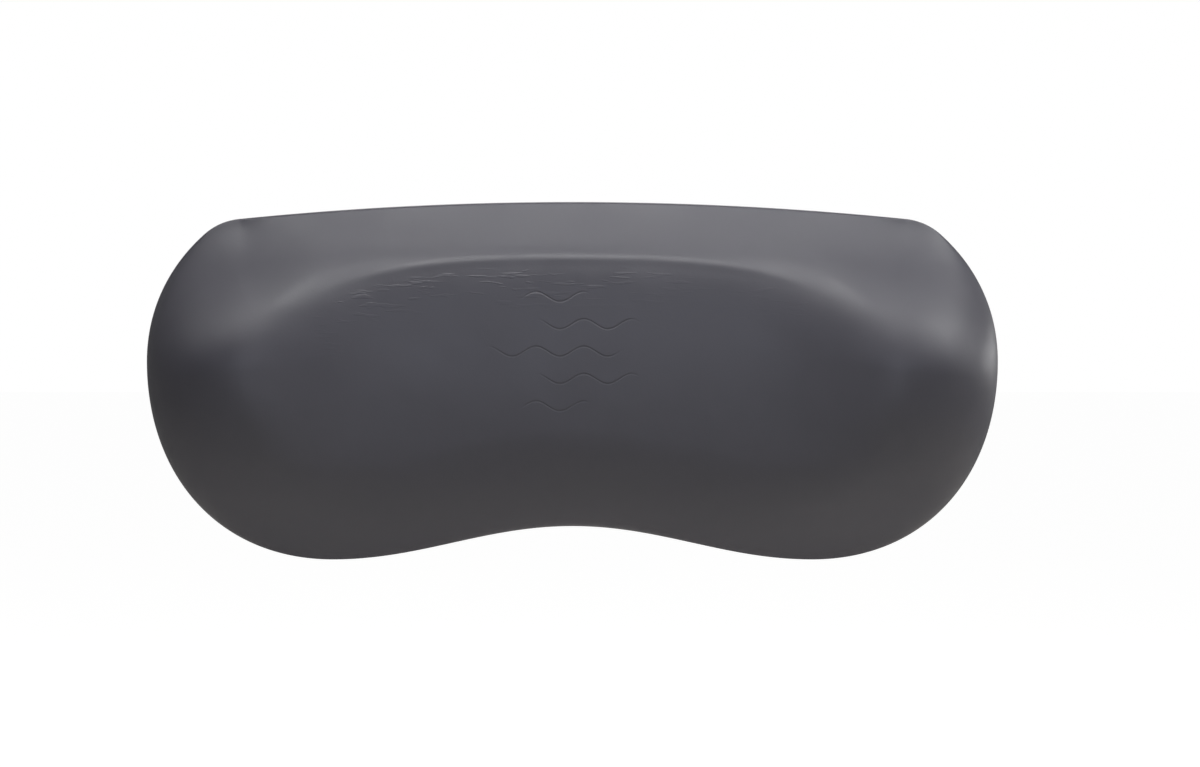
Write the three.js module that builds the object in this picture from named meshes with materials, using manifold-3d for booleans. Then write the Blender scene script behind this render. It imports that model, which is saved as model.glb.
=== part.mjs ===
// A bath pillow: a moulded foam head cushion with a dense skin, a stiff plate foamed into its back,
// and four soft suction cups that snap into sockets in the plate and hold the pillow to the bath.
// Millimetres. The finished part stands upright with +Z up and its face towards -Y.
// Pieces are drawn in the cushion's own frame: x to the right, y up, z from the bath wall to the face.
import * as THREE from "three";
import { mergeVertices } from "three/addons/utils/BufferGeometryUtils.js";
import Module from "manifold-3d";

const wasm = await Module();
wasm.setup();

// Outline of the cushion, seen from the front
const cushionWidth = 380;
const cushionHeight = 160;
const archRise = 8.5; // the top edge bows up this far between its corners
const cornerInset = 32; // top corners, in from the widest point
const cornerRadius = 9;
const cornerEntry = 42; // degrees below level at which the side leaves the top corner
const widestDrop = 71; // from the crown down to the widest point
const lobeInset = 82.5; // lowest point of each lobe, in from the widest point
const notchRise = 15; // the neck notch, up from the lobes

// Front surface: depths are measured from the flat back of the cushion
const topEdgeDepth = 8;
const topEdgeRoll = 2;
const topSlopeAngle = 38; // degrees, how steeply the top slope leaves the top edge
const topSlopeSweep = 160; // radius to which it sweeps up towards the crest
const lobeDepth = 52; // at the crest, before it is rounded
const lobeFall = 44; // the lobes lean back this far from their crest to their foot
const lobePower = 2.3; // how late they lean back
const crestDrop = 47.5; // from the crown down to the crest of the lobes
const crestBlend = 21.5;
const edgeLand = 6; // straight land round the rim, where the mould parted
const edgeRoll = 45; // width of the rounded edge at the sides and foot
const hollowDepth = 16.3; // the head hollow, back from the lobes
const hollowReach = 130; // half the width over which its floor rises
const hollowDrop = 63; // from the crown down to where its floor starts to rise
const hollowRise = 86; // height over which the floor rises above there
const napeDrop = 72; // from the crown down to where the hollow's floor stands out most
const napeBow = 265; // radius to which it bows out there for the nape
const rimBlend = 4.4; // rounding of the hollow's upper rim
const flankBlend = 11.5; // rounding of its ends
const footBlend = 8.5; // rounding of its foot

// Layers and the back
const clearance = 0.3;
const cutPast = 1; // a cut runs this far past the face that it opens
const skinThickness = 2;
const backBorder = 28; // skin border round the recess in the back
const recessDepth = 8;
const plateThickness = 3;
const plateLap = 6; // the plate's edge runs this far under the border
const lockHoleRadius = 5;
const lockHoleCount = 5;
const lockHolePitch = 28;
const lockHoleRow = 20; // above the level of the cups' centre

// Suction cups and their sockets
const cupProud = 6; // the rims stand this far behind the back of the cushion
const bellRadius = 22;
const bellHeight = 8;
const bellHollow = 5.5;
const rimThickness = 1.1;
const rimLand = 1.8; // flat sealing ring
const bossRadius = 7.5;
const neckRadius = 4.5;
const headRadius = 7;
const headHeight = 6;
const tabLength = 9; // pull tab, past the rim
const tabWidth = 10;
const tabThickness = 1.6;
const socketWall = 2;
const socketLip = 3; // length of the bore that grips the neck
const flangeThickness = 1.6;
const flangeLap = 3.5;
const snapBead = 0.9;
const cupEdgeX = 37; // outer pair of cups, in from the side of the recess
const cupEdgeY = 22; // cups, in from the top or the foot of the recess
const cupStep = 50; // lower pair, in from the upper pair

// Mesh fineness
const middleSteps = 6; // along half the notch, and along half the top edge above it
const lobeSteps = 7;
const sideSteps = 5;
const cornerSteps = 3;
const shoulderSteps = 3; // along the top edge from the corner to above the lobe's foot
const outerRings = [1, 0.98, 0.93, 0.86, 0.76, 0.62, 0.45, 0.24, 0];
const innerRings = [1, 0.95, 0.84, 0.68, 0.48, 0.24, 0];
const roundSides = 28;

// Places that follow from the sizes
const halfWidth = cushionWidth / 2;
const crownY = cushionHeight / 2;
const footY = -cushionHeight / 2;
const notchY = footY + notchRise;
const cornerX = halfWidth - cornerInset;
const widestY = crownY - widestDrop;
const lobeX = halfWidth - lobeInset;
const archRadius = (cornerX ** 2 + archRise ** 2) / (2 * archRise);
const backZ = cupProud;
const recessZ = backZ + recessDepth;
const plateZ = recessZ + clearance;
const plateInnerZ = plateZ + plateThickness;
const flangeZ = plateZ - clearance - flangeThickness;

const skinColour = 0x4b4a4f;
const materials = {
  skin: new THREE.MeshStandardMaterial({ color: skinColour, roughness: 0.5, metalness: 0 }),
  foam: new THREE.MeshStandardMaterial({ color: 0x5f5d5c, roughness: 1, metalness: 0 }),
  plate: new THREE.MeshStandardMaterial({ color: 0x1d1d1f, roughness: 0.6, metalness: 0 }),
  socket: new THREE.MeshStandardMaterial({ color: 0x2c2c2f, roughness: 0.5, metalness: 0 }),
  cup: new THREE.MeshStandardMaterial({ color: 0xc9d0d2, roughness: 0.2, metalness: 0 }),
};

// Solids

function solidOf(geometry) {
  const bare = geometry.clone();
  bare.deleteAttribute("normal");
  bare.deleteAttribute("uv");
  const merged = mergeVertices(bare, 1e-4);
  return new wasm.Manifold(
    new wasm.Mesh({
      numProp: 3,
      vertProperties: merged.attributes.position.array,
      triVerts: new Uint32Array(merged.index.array),
    }),
  );
}

function geometryOf(solid) {
  const mesh = solid.getMesh();
  return new THREE.BufferGeometry()
    .setAttribute("position", new THREE.BufferAttribute(mesh.vertProperties, 3))
    .setIndex(new THREE.BufferAttribute(mesh.triVerts, 1));
}

// A closed skin over rings of equal length, each running counterclockwise as seen from the front.
// The first ring is filled in. The last one is filled in too, unless it folds flat onto a line.
function loft(rings, lastFolds = false) {
  const count = rings[0].length;
  const positions = rings.flat().flatMap((p) => [p.x, p.y, p.z]);
  const faces = [];
  for (let r = 0; r < rings.length - 1; r++) {
    for (let i = 0; i < count; i++) {
      const next = (i + 1) % count;
      const [a, b] = [r * count + i, r * count + next];
      const [c, d] = [a + count, b + count];
      faces.push(a, b, d, a, d, c);
    }
  }
  const fill = (ring, start, flip) => {
    const flat = ring.map((p) => new THREE.Vector2(p.x, p.y));
    for (const [a, b, c] of THREE.ShapeUtils.triangulateShape(flat, [])) {
      faces.push(start + a, start + (flip ? c : b), start + (flip ? b : c));
    }
  };
  fill(rings[0], 0, true);
  if (!lastFolds) fill(rings.at(-1), (rings.length - 1) * count, false);
  return new THREE.BufferGeometry()
    .setAttribute("position", new THREE.Float32BufferAttribute(positions, 3))
    .setIndex(faces);
}

function prism(outline, z0, z1) {
  return loft([z0, z1].map((z) => outline.map((p) => new THREE.Vector3(p.x, p.y, z))));
}

// A turned solid on an axis along z, from a profile of [radius, z] points.
function turned(profile, { x, y }) {
  const points = profile.map(([radius, z]) => new THREE.Vector2(radius, z));
  return new THREE.LatheGeometry(points, roundSides).rotateX(Math.PI / 2).translate(x, y, 0);
}

function disc(radius, z0, z1, place) {
  return turned([[0, z0], [radius, z0], [radius, z1], [0, z1]], place);
}

// The outline

// Right half, from the notch round the lobe, side and corner to the crown.
function halfOutline() {
  const cornerY = crownY - archRise;
  const archEnd = Math.asin(cornerX / archRadius);
  const entry = THREE.MathUtils.degToRad(cornerEntry);
  const archTangent = new THREE.Vector2(Math.cos(archEnd), -Math.sin(archEnd));
  const sideTangent = new THREE.Vector2(Math.cos(entry), -Math.sin(entry));
  const corner = new THREE.Vector2(cornerX, cornerY);
  const cornerStart = corner.clone().addScaledVector(archTangent, -cornerRadius);
  const cornerEnd = corner.clone().addScaledVector(sideTangent, cornerRadius);
  const notch = new THREE.Vector2(0, notchY);
  const lobe = new THREE.Vector2(lobeX, footY);
  const widest = new THREE.Vector2(halfWidth, widestY);
  const waveHandle = 0.37 * lobeX;
  const sideRun = widest.distanceTo(cornerEnd);
  const lobeHandle = 0.6;
  const sideHandle = 0.36;
  const pieces = [
    [
      new THREE.CubicBezierCurve(
        notch,
        new THREE.Vector2(waveHandle, notchY),
        new THREE.Vector2(lobeX - waveHandle, footY),
        lobe,
      ),
      middleSteps,
    ],
    [
      new THREE.CubicBezierCurve(
        lobe,
        new THREE.Vector2(lobeX + lobeHandle * lobeInset, footY),
        new THREE.Vector2(halfWidth, widestY - lobeHandle * (widestY - footY)),
        widest,
      ),
      lobeSteps,
    ],
    [
      new THREE.CubicBezierCurve(
        widest,
        new THREE.Vector2(halfWidth, widestY + sideHandle * sideRun),
        cornerEnd.clone().addScaledVector(sideTangent, sideHandle * sideRun),
        cornerEnd,
      ),
      sideSteps,
    ],
    [new THREE.QuadraticBezierCurve(cornerEnd, corner, cornerStart), cornerSteps],
  ];
  const points = pieces.flatMap(([curve, steps]) => curve.getPoints(steps).slice(0, -1));
  const rimPoints = points.length; // the points before the top edge
  for (let i = 0; i < shoulderSteps; i++) {
    const x = THREE.MathUtils.lerp(cornerStart.x, lobeX, i / shoulderSteps);
    points.push(new THREE.Vector2(x, topEdge(x)));
  }
  for (let i = 0; i <= middleSteps; i++) {
    const x = lobeX * (1 - i / middleSteps);
    points.push(new THREE.Vector2(x, topEdge(x)));
  }
  return { points, rimPoints };
}

function topEdge(x) {
  return crownY - archRadius + Math.sqrt(archRadius ** 2 - x ** 2);
}

const { points: rightHalf, rimPoints } = halfOutline();
const mirrored = (points) => points.map((p) => new THREE.Vector2(-p.x, p.y)).reverse();
const allRound = (half) => [...half, ...mirrored(half.slice(1, -1))];
const outline = allRound(rightHalf);
const closedOutline = [...outline, outline[0]];
// The side and foot of the rim without the top edge, from the left corner to the right one.
const rimRight = rightHalf.slice(0, rimPoints + 1);
const rim = [...mirrored(rimRight.slice(1)), ...rimRight];

// Each point of the outline has its own point on a level line through the middle, the spine.
// The lobe, side and corner share the spine's end; points below and above its middle pair up.
const spineY = (crownY + notchY) / 2;
const lastPoint = rightHalf.length - 1;
const spine = allRound(
  rightHalf.map((_, i) => {
    const share = Math.min(1, i / middleSteps, (lastPoint - i) / middleSteps);
    return new THREE.Vector2(lobeX * share, spineY);
  }),
);

function distanceTo(line, point) {
  let nearest = Infinity;
  const spot = new THREE.Vector2();
  for (let i = 0; i < line.length - 1; i++) {
    const run = line[i + 1].clone().sub(line[i]);
    const along = spot.copy(point).sub(line[i]).dot(run) / run.lengthSq();
    spot.copy(line[i]).addScaledVector(run, THREE.MathUtils.clamp(along, 0, 1));
    nearest = Math.min(nearest, spot.distanceTo(point));
  }
  return nearest;
}

// The outline drawn in by an even distance.
function insetOutline(distance) {
  return outline.map((edge, i) => {
    let [inside, outside] = [0, 1];
    for (let halving = 0; halving < 30; halving++) {
      const middle = (inside + outside) / 2;
      const point = spine[i].clone().lerp(edge, middle);
      if (distanceTo(closedOutline, point) > distance) inside = middle;
      else outside = middle;
    }
    return spine[i].clone().lerp(edge, inside);
  });
}

// The front surface

// The lower of two depths, with the edge between them rounded over the blend.
function blendedLower(a, b, blend) {
  const near = Math.max(blend - Math.abs(a - b), 0) / blend;
  return Math.min(a, b) - (near * near * blend) / 4;
}

// A quarter ellipse, from 0 at the edge to 1 at the roll's full width.
function rollOff(distance, width) {
  const left = 1 - THREE.MathUtils.clamp(distance / width, 0, 1);
  return Math.sqrt(1 - left * left);
}

// The top slope and the lobes, before the hollow is pressed in.
function rollDepth(x, y) {
  const below = topEdge(x) - y;
  const rise = Math.tan(THREE.MathUtils.degToRad(topSlopeAngle));
  const slope = topEdgeDepth + rise * below + below ** 2 / (2 * topSlopeSweep);
  const crestY = crownY - crestDrop;
  const belowCrest = Math.max(crestY - y, 0) / (crestY - footY);
  const lobes = lobeDepth - lobeFall * belowCrest ** lobePower;
  return blendedLower(slope, lobes, crestBlend);
}

// The hollow's floor: hollow across, and bowed out for the nape from top to foot.
function hollowFloor(x, y) {
  const across = Math.abs(x) / hollowReach;
  const up = Math.max(y - crownY + hollowDrop, 0) / hollowRise;
  const spread = (across ** 3 + up ** 3) ** 1.5;
  const bow = (y - crownY + napeDrop) ** 2 / (2 * napeBow);
  return lobeDepth - hollowDepth * (1 - spread) - bow;
}

// The hollow's edge is crisp along its upper rim, and softer at its foot and its ends.
function hollowBlend(x, y) {
  const up = (y - crownY + hollowDrop) / hollowRise;
  const middle = 1 - THREE.MathUtils.smoothstep(Math.abs(x), 0, hollowReach);
  const rimShare = THREE.MathUtils.smoothstep(up, 0.1, 0.6) * middle;
  const footShare = THREE.MathUtils.smoothstep(-up, 0.1, 0.6);
  return flankBlend + (rimBlend - flankBlend) * rimShare + (footBlend - flankBlend) * footShare;
}

function frontDepth(x, y) {
  const body = blendedLower(rollDepth(x, y), hollowFloor(x, y), hollowBlend(x, y));
  const edge = rollOff(distanceTo(rim, new THREE.Vector2(x, y)), edgeRoll);
  const top = rollOff(topEdge(x) - y, topEdgeRoll);
  return edgeLand + (body - edgeLand) * edge * top;
}

// The surface's outward direction, from its slopes.
function frontNormal(x, y) {
  const step = 0.05;
  const slopeX = (frontDepth(x + step, y) - frontDepth(x - step, y)) / (2 * step);
  const slopeY = (frontDepth(x, y + step) - frontDepth(x, y - step)) / (2 * step);
  return new THREE.Vector3(-slopeX, -slopeY, 1).normalize();
}

// The cushion as one solid, drawn in from its outer surface by a distance.
function cushionSolid(inset, shares) {
  const edge = inset > 0 ? insetOutline(inset) : outline;
  const flat = (z) => edge.map((p) => new THREE.Vector3(p.x, p.y, z));
  const rings = [flat(backZ + inset), flat(backZ + edgeLand)];
  for (const share of shares.slice(1)) {
    rings.push(
      outline.map((point, i) => {
        const p = spine[i].clone().lerp(point, share);
        const surface = new THREE.Vector3(p.x, p.y, backZ + frontDepth(p.x, p.y));
        return surface.addScaledVector(frontNormal(p.x, p.y), -inset);
      }),
    );
  }
  return solidOf(loft(rings, true));
}

// Where the cups go

const recessOutline = insetOutline(backBorder);
const recessHalf = Math.max(...recessOutline.map((p) => p.x));

// Height of the recess's upper or lower edge at a place across the cushion.
function recessEdge(x, upper) {
  const inside = (y) => distanceTo(closedOutline, new THREE.Vector2(x, y)) > backBorder;
  let y = spineY;
  const step = upper ? 0.25 : -0.25;
  while (inside(y)) y += step;
  return y;
}

const upperX = recessHalf - cupEdgeX;
const lowerX = upperX - cupStep;
const upperY = recessEdge(upperX, true) - cupEdgeY;
const lowerY = recessEdge(lowerX, false) + cupEdgeY;
const cupPlaces = [
  { name: "upper_left", x: -upperX, y: upperY },
  { name: "upper_right", x: upperX, y: upperY },
  { name: "lower_left", x: -lowerX, y: lowerY },
  { name: "lower_right", x: lowerX, y: lowerY },
];
const cupsY = (upperY + lowerY) / 2;
const lockPlaces = Array.from({ length: lockHoleCount }, (_, i) => ({
  x: (i - (lockHoleCount - 1) / 2) * lockHolePitch,
  y: cupsY + lockHoleRow,
}));

// Sizes of the sockets, from the cup's neck and head
const lipRadius = neckRadius + clearance;
const chamberRadius = headRadius + clearance;
const barrelRadius = chamberRadius + socketWall;
const socketHoleRadius = barrelRadius + clearance;
const flangeRadius = socketHoleRadius + flangeLap;
const chamberZ = flangeZ + socketLip;
const chamberEndZ = chamberZ + headHeight + 2 * clearance;
const socketEndZ = chamberEndZ + socketWall;

// Pieces

function mouldedSkin() {
  const opening = solidOf(prism(recessOutline, backZ - cutPast, recessZ + cutPast));
  const collar = solidOf(prism(insetOutline(backBorder - skinThickness), backZ, recessZ));
  return cushionSolid(0, outerRings)
    .subtract(cushionSolid(skinThickness, innerRings))
    .add(collar)
    .subtract(opening);
}

// The plate's solid. Growing it by the clearance gives the room that the foam leaves round it.
function backPlate(grow) {
  const edge = insetOutline(backBorder - plateLap - grow);
  const hole = (radius, place) => solidOf(disc(radius, plateZ - cutPast, plateInnerZ + cutPast, place));
  let plate = solidOf(prism(edge, plateZ - grow, plateInnerZ + grow));
  for (const place of lockPlaces) plate = plate.subtract(hole(lockHoleRadius - grow, place));
  if (grow > 0) return plate;
  for (const place of cupPlaces) plate = plate.subtract(hole(socketHoleRadius, place));
  return plate;
}

function foamCore() {
  const gap = skinThickness + clearance;
  let core = cushionSolid(gap, innerRings)
    .subtract(solidOf(prism(insetOutline(backBorder - gap), backZ, plateZ)))
    .subtract(backPlate(clearance));
  const pocketRadius = socketHoleRadius + snapBead + clearance;
  for (const place of cupPlaces) {
    core = core.subtract(solidOf(disc(pocketRadius, backZ, socketEndZ + clearance, place)));
  }
  return core;
}

// A snap-in socket: flange, barrel through the plate, snap bead behind it and a blind chamber.
function cupSocket(place) {
  const beadZ = plateInnerZ + clearance;
  const beadRadius = socketHoleRadius + snapBead;
  return solidOf(
    turned(
      [
        [lipRadius, flangeZ],
        [flangeRadius, flangeZ],
        [flangeRadius, flangeZ + flangeThickness],
        [barrelRadius, flangeZ + flangeThickness],
        [barrelRadius, beadZ],
        [beadRadius, beadZ],
        [barrelRadius, beadZ + 2 * snapBead],
        [barrelRadius, socketEndZ],
        [0, socketEndZ],
        [0, chamberEndZ],
        [chamberRadius, chamberEndZ],
        [chamberRadius, chamberZ],
        [lipRadius, chamberZ],
        [lipRadius, flangeZ],
      ],
      place,
    ),
  );
}

// A soft cup: flat sealing ring, domed bell, boss, neck and mushroom head, with a pull tab at its foot.
function suctionCup(place) {
  const bossEnd = flangeZ - clearance;
  const headZ = chamberZ + clearance;
  const headTop = headZ + headHeight;
  const domeSteps = 4;
  const profile = [[0, bellHollow]];
  for (let i = 1; i <= domeSteps; i++) {
    const share = i / domeSteps;
    profile.push([(bellRadius - rimLand) * share, bellHollow * (1 - share ** 2)]);
  }
  profile.push([bellRadius, 0]);
  for (let i = 0; i <= domeSteps; i++) {
    const share = 1 - i / domeSteps;
    profile.push([
      bossRadius + (bellRadius - bossRadius) * share,
      rimThickness + (bellHeight - rimThickness) * (1 - share ** 2),
    ]);
  }
  profile.push(
    [bossRadius, bossEnd],
    [neckRadius, bossEnd],
    [neckRadius, headZ],
    [headRadius, headZ],
    [headRadius, headZ + headHeight * 0.35],
    [headRadius * 0.55, headTop],
    [0, headTop],
  );
  const tabInner = bellRadius - rimLand;
  const tabOuter = bellRadius + tabLength;
  const tab = new THREE.Shape()
    .moveTo(-tabWidth / 2, -tabInner)
    .lineTo(-tabWidth / 2, -tabOuter + tabWidth / 2)
    .absarc(0, -tabOuter + tabWidth / 2, tabWidth / 2, Math.PI, 2 * Math.PI, false)
    .lineTo(tabWidth / 2, -tabInner);
  const tabSolid = new THREE.ExtrudeGeometry(tab, { depth: tabThickness, bevelEnabled: false, curveSegments: 8 });
  tabSolid.translate(place.x, place.y, rimThickness / 2);
  return solidOf(turned(profile, place)).add(solidOf(tabSolid));
}

// Assembly

const pillow = new THREE.Group();
pillow.rotation.x = Math.PI / 2; // the cushion's up becomes +Z and its face looks towards -Y

function addPiece(name, solid, material) {
  const mesh = new THREE.Mesh(geometryOf(solid), material);
  mesh.name = name;
  pillow.add(mesh);
}

addPiece("moulded_skin", mouldedSkin(), materials.skin);
addPiece("foam_core", foamCore(), materials.foam);
addPiece("back_plate", backPlate(0), materials.plate);
for (const place of cupPlaces) {
  addPiece(`cup_socket_${place.name}`, cupSocket(place), materials.socket);
  addPiece(`suction_cup_${place.name}`, suctionCup(place), materials.cup);
}

export default pillow;
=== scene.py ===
"""A moulded bath pillow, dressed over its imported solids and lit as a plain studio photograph.

The cushion is drawn in its own plane: x to the right, z up, and a depth that counts from the bath wall
towards the face, so depth d lies at y = -d in the row frame. Sizes are in metres unless a name says mm.
"""
import math

import bmesh
import bpy
import numpy as np
from bpy.props import FloatProperty, FloatVectorProperty, IntProperty, PointerProperty
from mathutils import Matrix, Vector


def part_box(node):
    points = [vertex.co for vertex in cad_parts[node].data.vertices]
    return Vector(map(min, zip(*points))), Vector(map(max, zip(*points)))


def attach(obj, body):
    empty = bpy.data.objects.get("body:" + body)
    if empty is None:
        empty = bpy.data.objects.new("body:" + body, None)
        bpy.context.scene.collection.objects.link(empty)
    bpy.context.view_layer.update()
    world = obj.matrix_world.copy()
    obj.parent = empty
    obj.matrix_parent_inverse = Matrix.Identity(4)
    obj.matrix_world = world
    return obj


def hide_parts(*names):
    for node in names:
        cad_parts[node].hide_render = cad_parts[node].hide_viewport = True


bl_info = {
    "name": "Bath pillow",
    "version": (1, 0, 0),
    "blender": (4, 5, 0),
    "location": "View3D > Sidebar > Bath pillow",
    "description": "Builds the skin, foam, plate, sockets and cups of a bath pillow over its solids",
    "category": "Add Mesh",
}

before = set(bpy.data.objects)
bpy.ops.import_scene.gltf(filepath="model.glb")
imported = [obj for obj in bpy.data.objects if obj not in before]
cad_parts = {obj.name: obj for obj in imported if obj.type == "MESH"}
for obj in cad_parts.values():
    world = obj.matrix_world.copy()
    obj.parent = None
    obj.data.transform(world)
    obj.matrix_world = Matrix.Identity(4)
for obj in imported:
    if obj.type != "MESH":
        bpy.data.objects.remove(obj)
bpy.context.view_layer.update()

MM = 0.001
PLACES = ("upper_left", "upper_right", "lower_left", "lower_right")
SKIN_LOW, SKIN_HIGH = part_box("moulded_skin")
PLATE_LOW, PLATE_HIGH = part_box("back_plate")
SOCKET_LOW, SOCKET_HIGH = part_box("cup_socket_upper_left")
CUP_LOW, CUP_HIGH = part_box("suction_cup_upper_left")


def linear(hex_colour):
    """A colour written as sRGB hex, as linear red, green, blue and alpha."""
    values = [int(hex_colour[i:i + 2], 16) / 255 for i in (1, 3, 5)]
    return [v / 12.92 if v <= 0.04045 else ((v + 0.055) / 1.055) ** 2.4 for v in values] + [1.0]


def length(name, default, description):
    """A length property with its default in metres."""
    return FloatProperty(name=name, description=description, default=default, min=0.0,
                         subtype="DISTANCE", unit="LENGTH", precision=5)


def angle(name, degrees, description):
    """An angle property with its default in degrees."""
    return FloatProperty(name=name, description=description, default=math.radians(degrees), subtype="ANGLE",
                         unit="ROTATION")


def number(name, default, description):
    """A plain number property that isn't below zero."""
    return FloatProperty(name=name, description=description, default=default, min=0.0)


def colour(name, hex_colour, description):
    """A colour property with its default as sRGB hex."""
    return FloatVectorProperty(name=name, description=description, default=linear(hex_colour), size=4,
                               min=0.0, max=1.0, subtype="COLOR")


# Sizes and colours


class CushionSizes(bpy.types.PropertyGroup):
    """The moulded cushion's outline and front surface."""
    width: length("Width", SKIN_HIGH.x - SKIN_LOW.x, "Across the widest point")
    height: length("Height", SKIN_HIGH.z - SKIN_LOW.z, "From the lobes' foot to the crown")
    arch_rise: length("Arch rise", 8.5 * MM, "How far the top edge bows up between its corners")
    corner_inset: length("Corner inset", 32 * MM, "Top corners, in from the widest point")
    corner_radius: length("Corner radius", 9 * MM, "Rounding of the top corners")
    corner_entry: angle("Corner entry", 42, "Fall of the side below level at the top corner")
    widest_drop: length("Widest drop", 71 * MM, "From the crown down to the widest point")
    lobe_inset: length("Lobe inset", 82.5 * MM, "Lowest point of each lobe, in from the widest point")
    notch_rise: length("Notch rise", 15 * MM, "The neck notch, up from the lobes")
    notch_ease: number("Notch ease", 0.37, "Handles of the notch's curve, as a share of its half width")
    lobe_ease: number("Lobe ease", 0.6, "Handles of the lobe's curve, as a share of its width and height")
    side_ease: number("Side ease", 0.36, "Handles of the side's curve, as a share of its length")
    top_edge_depth: length("Top edge depth", 8 * MM, "Thickness at the top edge")
    top_edge_roll: length("Top edge roll", 0.8 * MM, "Width of the rounded edge at the top")
    top_slope_angle: angle("Top slope", 38, "Rise of the top slope from the top edge")
    top_slope_sweep: length("Top slope sweep", 115 * MM, "Radius to which the top slope is swept up")
    lobe_depth: length("Lobe depth", 53.5 * MM, "Thickness at the lobes' crest, before rounding")
    lobe_fall: length("Lobe fall", 44 * MM, "How far the lobes lean back from crest to foot")
    lobe_power: number("Lobe power", 2.3, "How late the lobes lean back")
    crest_drop: length("Crest drop", 65 * MM, "From the crown down to the lobes' crest")
    crest_blend: length("Crest blend", 27 * MM, "Rounding of the lobes' crest")
    edge_land: length("Edge land", 6 * MM, "Straight land round the rim, where the mould parted")
    edge_roll: length("Edge roll", 45 * MM, "Width of the rounded edge at the sides and foot")
    hollow_drop: length("Hollow drop", 63 * MM, "From the crown down to the middle of the head hollow")
    hollow_depth: length("Hollow depth", 17.8 * MM, "The head hollow, back from the lobes")
    hollow_reach: length("Hollow reach", 130 * MM, "Half the width over which the hollow's floor rises")
    hollow_rise: length("Hollow rise", 86 * MM, "Height over which the hollow's floor rises")
    nape_drop: length("Nape drop", 72 * MM, "From the crown to where the hollow's floor stands out most")
    nape_bow: length("Nape bow", 265 * MM, "Radius to which the hollow's floor bows out for the nape")
    rim_blend: length("Rim blend", 5.5 * MM, "Rounding of the hollow's upper rim")
    rim_lip: length("Rim lip", 0.9 * MM, "Height of the fine lip along the hollow's upper rim")
    lip_width: length("Lip width", 2.2 * MM, "Width of the lip")
    flank_blend: length("Flank blend", 11.5 * MM, "Rounding of the hollow's ends")
    foot_blend: length("Foot blend", 8.5 * MM, "Rounding of the hollow's foot")
    skin: length("Skin", 2 * MM, "Thickness of the dense skin")
    parting_bead: length("Parting bead", 0.12 * MM, "Height of the flash line where the mould parted")


class BackSizes(bpy.types.PropertyGroup):
    """The recess in the back and the plate in it."""
    back: length("Back", -SKIN_HIGH.y, "Depth of the cushion's flat back")
    border: length("Border", 28 * MM, "Skin border round the recess")
    border_round: length("Border round", 1.6 * MM, "Rounding of the border's edges")
    plate_outer: length("Plate outer face", -PLATE_HIGH.y, "Depth of the plate's seen face")
    plate_inner: length("Plate inner face", -PLATE_LOW.y, "Depth of the plate's hidden face")
    plate_lap: length("Plate lap", 6 * MM, "How far the plate's edge runs under the border")
    clearance: length("Clearance", 0.3 * MM, "Gap between neighbouring pieces")
    lock_radius: length("Lock hole radius", 5 * MM, "Holes that the foam locks through")
    lock_count: IntProperty(name="Lock holes", default=5, min=1,
                            description="How many holes the foam locks through")
    lock_pitch: length("Lock pitch", 28 * MM, "From one lock hole to the next")
    lock_row: length("Lock row", 20 * MM, "Lock holes, above the middle of the cups")
    collar_width: length("Collar width", 2 * MM, "Raised collar round each socket")
    collar_height: length("Collar height", 0.8 * MM, "Raised collar, above the plate")
    pin_radius: length("Ejector pin radius", 2.5 * MM, "Marks that the ejector pins left")
    pin_height: length("Ejector mark height", 0.15 * MM, "Ejector marks, above the plate")
    pin_drop: length("Ejector mark drop", 33.6 * MM, "Ejector marks, below the lock holes")


class CupSizes(bpy.types.PropertyGroup):
    """The suction cups and their sockets."""
    bell_radius: length("Bell radius", (CUP_HIGH.x - CUP_LOW.x) / 2, "Radius of the cup's rim")
    bell_height: length("Bell height", 8 * MM, "From the rim to the top of the dome")
    bell_hollow: length("Bell hollow", 5.5 * MM, "Height of the hollow under the dome")
    rim_thickness: length("Rim thickness", 1.1 * MM, "Thickness of the cup's rim")
    rim_land: length("Rim land", 1.8 * MM, "Width of the flat sealing ring")
    boss_radius: length("Boss radius", 7.5 * MM, "Radius of the boss on the dome")
    neck_radius: length("Neck radius", 4.5 * MM, "Radius of the neck in the socket's lip")
    head_radius: length("Head radius", 7 * MM, "Radius of the mushroom head")
    head_height: length("Head height", 6 * MM, "Height of the mushroom head")
    tab_length: length("Tab length", 9 * MM, "Pull tab, past the rim")
    tab_width: length("Tab width", 10 * MM, "Width of the pull tab")
    tab_thickness: length("Tab thickness", 1.6 * MM, "Thickness of the pull tab")
    socket_wall: length("Socket wall", 2 * MM, "Wall of the socket")
    socket_lip: length("Socket lip", 3 * MM, "Length of the bore that grips the neck")
    flange_thickness: length("Flange thickness", 1.6 * MM, "Thickness of the socket's flange")


class DesignSizes(bpy.types.PropertyGroup):
    """The faint wavy lines that are moulded into the hollow."""
    level: length("Level", 14 * MM, "Middle line, above the middle of the cushion")
    rows: IntProperty(name="Rows", description="How many lines", default=5, min=3)
    pitch: length("Pitch", 12 * MM, "From one line to the next")
    width: length("Width", 62 * MM, "Length of the middle line")
    wave: length("Wave", 21 * MM, "Length of one wave")
    sway: length("Sway", 2.2 * MM, "Height of a wave above and below its line")
    line: length("Line", 0.7 * MM, "Half the width of a line")
    groove: length("Groove", 0.16 * MM, "Depth of a line")


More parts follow.
